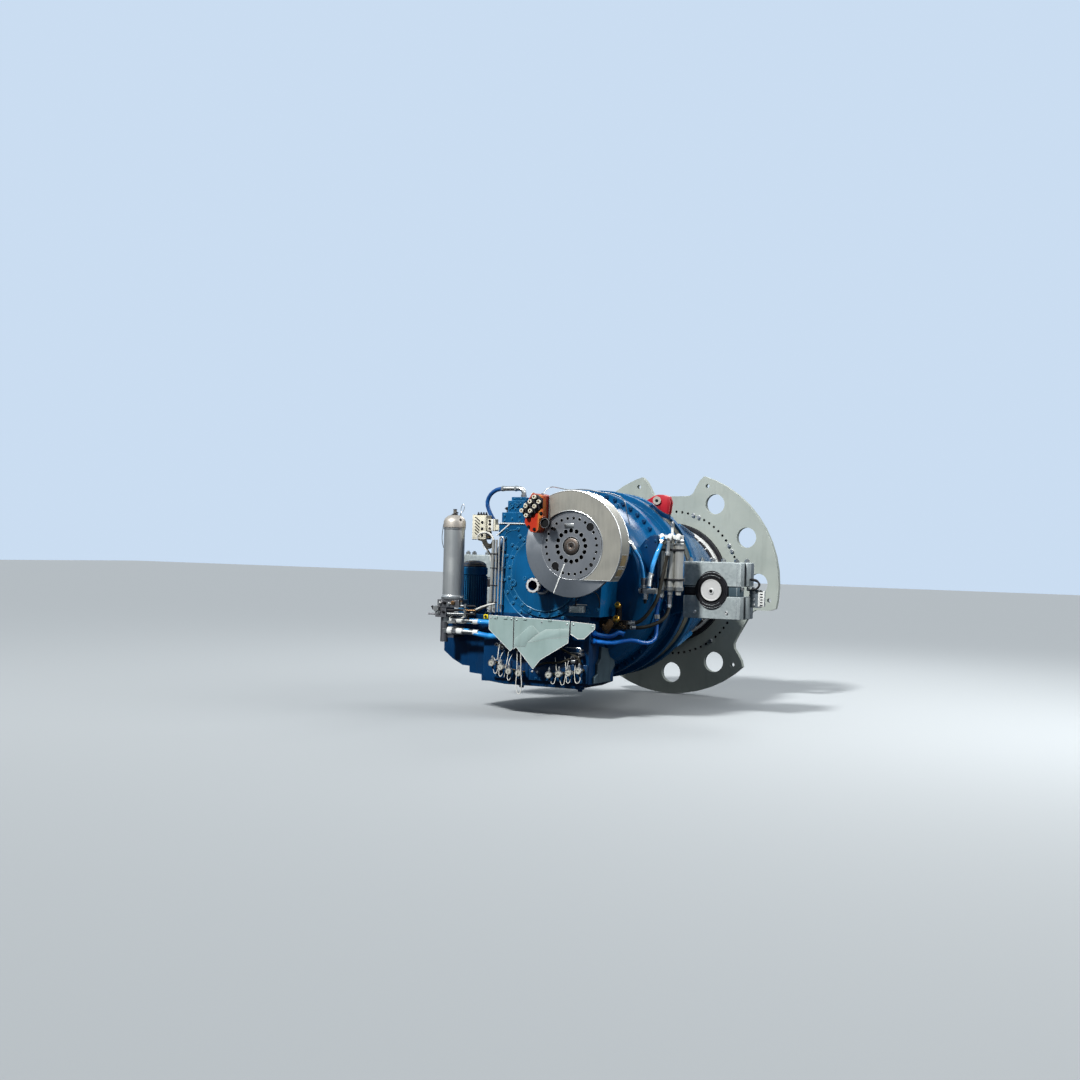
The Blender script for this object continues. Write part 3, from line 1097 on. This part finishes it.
# %% Folds, cut edges and screws of the shields
CUT_EDGES = [
    [(-218, -294), (-472, -287), (-468, -415), (-245, -603), (-218, -580)],
    [(-208, -294), (349, -308)],
    [(-208, -585), (-185, -563), (-7, -751), (61, -667), (335, -500), (340, -440)],
    [(360, -420), (433, -459), (491, -456), (594, -363), (594, -323), (360, -310)],
]
for outline in CUT_EDGES:
    tube([(x, -3251.5, z) for x, z in outline], 2.6, kind="VECTOR", sides=2, bends=1)
for low_x, high_x, low_z, high_z in ((-217.5, -208.5, -584, -296), (349.5, 359.5, -428, -312)):
    block((low_x, -3252, low_z), (high_x, -3247, high_z), 1)
finish_piece("shield_cut_edges", [white_enamel, black_rubber])

plate([(-200, -498), (-52, -366), (-12, -364), (42, -424), (-75, -509), (-88, -556), (-203, -556)], -3255.6,
      -3253.1, 0, 1)
plate([(46, -424), (110, -392), (345, -372), (342, -452), (150, -470), (-60, -520), (-66, -512)], -3254.4,
      -3253.1, 0, 0.8)
bolts(spots(-3253.1, (-450, -308), (-240, -314), (-185, -318), (70, -326), (320, -334), (385, -336),
            (570, -345)), 13, 6, 1)
for x in (-400, -300, -100, 150):
    block((x - 18, -3262, -316), (x + 18, -3253.1, -298), 0, 2)
finish_piece("shield_folds", [sheet_primer, bright_steel])

block((-627, -3075, -331), (-582, -3052, -292), 0, 3)
rod((-604, -3083, -311), (-604, -3075, -311), 12, 20, 1)
finish_piece("yellow_cap", [yellow_plastic, black_rubber])

block((283, -3131, -222), (397, -3125.2, -186), 0, 2)
bolts(spots(-3131.2, (292, -194), (388, -194), (292, -216), (388, -216)), 9, 5, 1)
rod((340, -3120, -176), (340, -3120, -150), (10, 8), 14, 2)
tube([(340, -3120, -152), (350, -3130, -110), (420, -3110, -70), (500, -3070, -50), (540, -3060, -110),
     (546, -3056, -180)], 5, 2, sides=2)
block((246, -3060, -168), (420, -3050.3, -158), 1, 2)
finish_piece("speed_sensor_lid", [zinc, bright_steel, black_rubber])

# %% [markdown]
# ## The valves at the right
# A bronze block mixes the oil of the two black hoses. Its two adjusting knobs are passivated yellow, the one
# warm spot in the shade of the drum.

# %% Knobs, unions and hose fittings at the valve block
for x, y, z in ((615, -2800, -178), (644, -2888, -294)):
    forward = Vector((0.1, -0.85, 0.5)).normalized()
    foot = Vector((x, y, z)) - forward * 6
    rod(foot, foot + forward * 22, 19, 6)
    rod(foot + forward * 22, foot + forward * 50, (31, 29), 24, 1)
    rod(foot + forward * 50, foot + forward * 56, (29, 22), 24, 1)
    rod(foot + forward * 56, foot + forward * 62, 8, 12, 2)
for x, y, z in ((560, -2852, -318), (560, -2852, -356), (668, -2852, -330), (700, -2852, -352)):
    stack("Y", (x, z), (y + 2, y - 12, 15, 6), (y - 12, y - 20, (11, 9), 14, 2))
rod((615, -2790, -260), (615, -2790, -234), 30, 6, 3)
tilt = turned_about_y((556, -2872, -352), 38)
block((-34, -22, -66), (34, 22, 60), 0, 9, tilt)
rod(tilt @ Vector((0, 0, 58)), tilt @ Vector((0, 0, 92)), (24, 20), 18)
rod(tilt @ Vector((-6, -20, -20)), tilt @ Vector((-6, -34, -20)), 20, 6)
rod(tilt @ Vector((-52, 0, -30)), tilt @ Vector((-32, 0, -30)), 16, 12)
finish_piece("valve_knobs", [bronze, gold, black_rubber, dark_bronze])

for z in (-318, -356):
    rod((720.3, -2800 + (318 + z) * -0.6, z), (752, -2798, z + 1), 23, 6)
rod((752, -2797, -317), (782, -2793, -314), 19.5, 18)
rod((752, -2795, -357), (786, -2784, -357.5), 19.5, 18)
for start, end in (((455, -2998, -413), (474, -2974, -423)), ((455, -2998, -487), (474, -2982, -490)),
                   ((700, -2850, -420), (694, -2853, -417))):
    rod(start, end, 26, 6, 1)
rod((905, -2520, -90), (908, -2501, -62), 27, 6)
rod((892, -2556, -280), (889, -2552, -245), 26, 6)
finish_piece("pipe_nuts", [bright_steel, pipe_blue])

HOSE_ENDS = [
    ((668, -2745, 422), (705, -2749, 396), 21, 0), ((705, -2749, 396), (744, -2753, 339), 19.5, 0),
    ((838, -2770, 92), (841, -2770, 26), 21, 1), ((841, -2770, 26), (843, -2770, 4), 24, 0),
    ((932, -2574, 436), (927, -2584, 404), 24, 0), ((889, -2720, 130), (887, -2740, 92), 25, 0),
    ((887, -2740, 92), (890, -2768, 14), 25, 0), ((994, -2576, 432), (993, -2584, 330), 20.5, 0),
    ((993, -2584, 330), (992, -2587, 300), 23, 0), ((990, -2500, -66), (993, -2514, -150), 22, 1),
    ((993, -2514, -150), (993, -2520, -176), 21, 0),
]
for start, end, radius, kind in HOSE_ENDS:
    rod(start, end, radius, 18, kind)
    along = (Vector(end) - Vector(start)).normalized()
    rod(start, Vector(start) + along * 12, radius + 5, 6, kind)
finish_piece("hose_end_fittings", [bright_steel, dull_steel])

# %% [markdown]
# ## The oil tubes
# Three bright tubes collect the oil of the planet stage. Straps of black rubber hold them to a bracket on
# the drum, and cast elbows join them at the top.

# %% Straps, elbows and unions of the oil tubes
TUBES = (908, 990.5, 1073)
TUBE_Y = -2500
for z in (352, 80):
    block((860, -2548, z - 9), (1118, -2541, z + 9), 0, 3)
    for x in TUBES:
        turned([(40.4, z - 9), (47, z - 9), (47, z + 9), (40.4, z + 9)], (x, TUBE_Y), 28, 0, True, axis="Z")
for x in TUBES:
    turned([(28.2, 414), (37, 414), (39, 420), (39, 440), (36, 446), (28.2, 446)], (x, TUBE_Y), 6, 1, True,
           axis="Z")
    turned([(40.2, -18), (45, -16), (45, 14), (40.2, 18)], (x, TUBE_Y), 32, 1, True, axis="Z")
    turned([(40.2, 392), (44, 394), (44, 408), (40.2, 410)], (x, TUBE_Y), 32, 1, True, axis="Z")
for x in (915, 997, 1078):
    tube([(x, -2506, 470), (x, -2528, 478), (x + 1, -2548, 478), (x + 2, -2558, 462), (x + 2, -2560, 444)],
         21, 2)
    rod((x + 2, -2560, 446), (x + 2, -2560, 430), 25, 6, 1)
stack("Z", (1000, -2500), (560, 596, 17, 6, 1), (596, 612, (10, 7), 14, 1))
finish_piece("oil_tube_trim", [black_rubber, bright_steel, white_enamel])

for x in (820, 842, 888, 940):
    rod((x, -2770, -22), (x + 4, -2770, -22), 31, 6)
stack("X", (-2770, -22), (808, 816, (28, 18)), (965, 974, (18, 28)))
stack("Z", (862, -2770), (-50, -96, 27, 6), (-100, -138, (17, 12), 16, 1))
block((826, -2796, -40), (850, -2790, -4), 1, 2)
finish_piece("manifold_unions", [bright_steel, black_rubber])

# %% [markdown]
# ## Flange bolts round the drum
# The gearbox is built from rings that are bolted face to face. Three joints have a full circle of big
# hexagon bolts and the drum's front step has half a one, painted over a shade darker than the rings.

# %% Bolt circles on the drum's flanges
bolts([on_ring(MAIN, 869, 6 * k + 3, -2262.2) for k in range(60)], 33, 24)
finish_piece("front_flange_bolts", [navy_enamel])
bolts([on_ring(MAIN, 896, 7.5 * k + 3, -1829.8) for k in range(48)], 28, 24, facing=1)
bolts([on_ring(MAIN, 889, 6 * k, -1529.8) for k in range(60)], 26, 18, facing=1)
bolts([on_ring(MAIN, 740, 10 * k + 4, -2703) for k in range(36) if on_ring(MAIN, 740, 10 * k + 4, 0).z > 200],
      30, 20)
finish_piece("ring_joint_nuts", [navy_enamel])

for degrees in (62, 75, 95, 112, 130):
    p = on_ring(MAIN, 840, degrees, -2400)
    q = on_ring(MAIN, 858, degrees, -2400)
    rod(p, q, (30, 27), 24)
    rod(q, on_ring(MAIN, 872, degrees, -2400), 17, 6)
for degrees in (50, 82, 100, 140):
    p = on_ring(MAIN, 858, degrees, -2120)
    q = on_ring(MAIN, 874, degrees, -2120)
    rod(p, q, (26, 23), 20)
finish_piece("drum_plugs", [blue_enamel])

# A folded plate beside the oil tubes carries their straps and keeps the hoses off the drum.
HOSE_PLATE = [(716, 352), (777, 436), (830, 474), (906, 485), (906, -25), (741, -27), (762, 150), (742, 250)]
plate(HOSE_PLATE, -2612, -2605, 0, 1.5)
block((898, -2612, -20), (906, -2560, 478), 0, 1.5)
bolts(spots(-2612.2, (790, 380), (880, 430), (880, 40), (790, 60)), 20, 12)
for z in (352, 80):
    block((868, -2570, z - 12), (900, -2543, z + 12), 0, 2)
finish_piece("hose_plate", [navy_enamel])

# %% [markdown]
# ## The torque arm blocks
# The rotor tries to twist the whole gearbox. Two arms take that twist into galvanised blocks on the
# nacelle's frame, through rubber bushings with steel pins. The rubber is moulded in ridges round the pin, so
# that it can bulge.

# %% Bushings, pins and fittings of both blocks
def lip_outline(centre_x, start):
    """A crescent between the bushing's round edge and an upright oval, over 100 degrees of arc."""
    angles = [math.radians(start + 5 * k) for k in range(21)]
    outer = [(centre_x + 150 * math.cos(a), -10 + 180 * math.sin(a)) for a in angles]
    inner = [(centre_x + 121 * math.cos(a), -10 + 158 * math.sin(a)) for a in reversed(angles)]
    return outer + inner


def ridged_bushing(name, node, centre_x):
    """Rubber rings with bright steel shims between them, about a pin."""
    profile = [(115.8, -2190), (118, -2200), (126, -2201), (129, -2192), (132, -2199), (142, -2200),
               (145, -2191), (148, -2197), (157, -2197), (160, -2188), (160, -1812), (115.8, -1812)]
    turned(profile, (centre_x, -10), 64, 0, True)
    for start in (40, 220):
        plate(lip_outline(centre_x, start), -2192, -2185.2, 0, 1)
        for radius, front in ((138, -2199.5), (165, -2192.5)):
            wire = [on_ring((centre_x, -10), radius, start + 12 + 4 * k, front) for k in range(20)]
            tube(wire, 1.1, 1, sides=2, bends=2)
    piece = finish_piece(name, [black_rubber, dull_zinc])
    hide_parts(node)


def torque_pin(name, node, centre_x):
    """A bright pin: broken edge, a turned face with a fine ring, and a bolt in its centre."""
    profile = [(0, -2200), (88, -2200), (90, -2202.5), (98, -2203), (101, -2199), (101, -1802), (0, -1802)]
    turned(profile, (centre_x, -10), 64)
    turned([(100.5, -2200), (108, -2198), (115, -2190), (115, -1803), (100.5, -1803)], (centre_x, -10), 64,
           1, True)
    turned([(0, -2199), (30, -2199), (30, -2203), (26, -2206), (17, -2206), (15, -2203), (0, -2203)],
           (centre_x, -20))
    rod((centre_x, -2204.5, -20), (centre_x, -2202, -20), 15, 16, 1)
    piece = finish_piece(name, [pin_steel, black_oxide])
    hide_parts(node)


for side, sign in (("right", 1), ("left", -1)):
    ridged_bushing(side + "_ridged_bushing", side + "_bushing", sign * 1276)
    torque_pin(side + "_bright_pin", side + "_torque_pin", sign * 1276)


def mirrored_block(sign, low, high, finish, rounding):
    """A block on the right side (sign 1), or its mirror image on the left (sign -1)."""
    first, last = sorted((sign * low[0], sign * high[0]))
    block((first, *low[1:]), (last, *high[1:]), finish, rounding)


# The two tiers of a block, from z to z, above and below its parting joint
TIERS = ((32, 246), (-270, -69))
for sign in (1, -1):
    mirrored_block(sign, (1004, -2176, -62), (1112, -2062, 25), 3, 3)
    mirrored_block(sign, (1006, -2179, 15), (1112, -2175, 19), 1, 1)
    mirrored_block(sign, (1440, -2176, -62), (1547, -2062, 25), 0, 3)
    mirrored_block(sign, (1516, -2178.5, -60), (1521, -2175, 23), 2, 1)
    for low_z, high_z in TIERS:
        mirrored_block(sign, (1517, -2186.5, low_z + 2), (1523, -2184, high_z - 2), 2, 1)
        mirrored_block(sign, (1000.5, -2187.5, low_z + 2), (1010, -2184, high_z - 2), 1, 1)
for low_z, high_z in TIERS:
    block((1549, -2182, low_z), (1554, -2078, high_z), 1, 2)
    block((1549, -2072, low_z), (1553, -2054, high_z), 3, 1)
    block((1549, -2046, low_z), (1566, -1926, high_z), 1, 8)
    block((1549, -1920, low_z), (1557, -1822, high_z), 2, 2)
finish_piece("block_clamps", [slate_enamel, zinc, dull_zinc, black_rubber])

for sign in (1, -1):
    for x, z in ((1117, -214), (1427, -214)):
        rod((sign * x, -2185.2, z), (sign * x, -2189, z), 17, 24)
        turned([(0, -2193), (6, -2193), (7, -2197), (12, -2198), (14, -2196), (14, -2188), (0, -2188)],
               (sign * x, z), 24)
    for x, y in ((1050, -2150), (1050, -1860), (1500, -2150), (1500, -1860), (1270, -2140), (1270, -1870)):
        stack("Z", (sign * x, y), (250.2, 254, 27, 20), (254, 276, 23, 6), (276, 288, 12, 14))
for y in (-2150, -2000, -1860):
    rod((1556, y, 10), (1574, y, 10), 20, 6)
finish_piece("block_bolts", [bright_steel])

for k in range(6):
    z = -140 + 25.5 * k
    block((1657, -1928.5, z - 6), (1684, -1924.8, z + 6), 1, 1.5)
block((1652, -1927, -150), (1699, -1924.9, -8), 0, 1)
block((1640, -1932, -152), (1652, -1925.2, 2), 0, 2)
for z in (-140, -90, -20):
    bolts([(1600, -1925.2, z)], 18, 10, 2)
for y, drop in ((-1960, 0), (-1944, 10)):
    tube([(1562, y, 96), (1600, y, 98 - drop), (1640, y, 84 - drop), (1656, y, 52), (1646, y, 22 + drop),
         (1616, y, 8), (1585, y, 4)], 8.5, 1)
finish_piece("end_plate_comb", [white_enamel, black_rubber, bright_steel])

# %% [markdown]
# ## The lifting lug
# A red fork on the drum takes a pin to lift by. Its two cheeks are flame-cut plate, and the boss under
# them is painted with the housing.

# %% Cheeks, pin and foot of the lug
CHEEK = [(483, 822), (546, 863), (600, 880), (656, 879), (712, 861), (730, 803), (713, 690), (669, 706),
         (610, 740), (548, 793)]
for front, back in ((-1900, -1878), (-1852, -1830)):
    plate(CHEEK, front, back, 0, 4)
stack("Y", (595, 822), (-1912, -1818, 24, 24, 1), (-1918, -1901, (40, 38), 28, 1),
      (-1829, -1812, (38, 40), 28, 1), (-1922, -1917, 16, 6, 2))
plate([(500, 772), (548, 793), (610, 740), (669, 706), (713, 690), (712, 640), (640, 664), (560, 734)],
      -1894, -1836, 3, 5)
lug = finish_piece("lug_fork", [red_enamel, cap_steel, black_oxide, navy_enamel])
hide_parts("lifting_lug")

# %% [markdown]
# ## The far sides
# The rotor side, the top and the belly are finished with what such a gearbox has there: ribs on the bearing
# housing, inspection covers on the drum, and three drain plugs under the sump.

# %% Ribs, inspection covers and drain plugs
for k in range(12):
    degrees = 15 + 30 * k
    foot = [(-1345, 826), (-1335, 862), (-1200, 836), (-720, 738), (-662, 708), (-655, 687)]
    rib = draw_out([(r, y, -11) for y, r in foot], (0, 0, 22))
    put(rib, 0, Matrix.Rotation(-math.radians(degrees), 4, "Y"))
finish_piece("bearing_ribs", [blue_enamel])

for degrees, y in ((90, -2330), (200, -2400), (340, -2380)):
    out = Matrix.Rotation(math.radians(90 - degrees), 4, "Y") @ Matrix.Translation((0, y, 838))
    block((-70, -52, 0), (70, 52, 16), 0, 6, out)
    for x in (-54, 54):
        for dy in (-36, 36):
            bit = bmesh.new()
            bmesh.ops.create_cone(bit, cap_ends=True, segments=6, radius1=12, radius2=10, depth=12)
            put(bit, 1, out @ Matrix.Translation((x, dy, 21)))
for x, y in ((-300, -2900), (100, -2700), (300, -2900)):
    stack("Z", (x, y), (-924.8, -940, (40, 38), 28), (-940, -960, 22, 6, 1))
finish_piece("inspection_covers", [blue_enamel, navy_enamel])

# %% [markdown]
# ## The boxes of CAD and of the dressed model
# Nothing above may make the gearbox bigger than its solids. Both boxes are kept, so that the two can be
# compared.
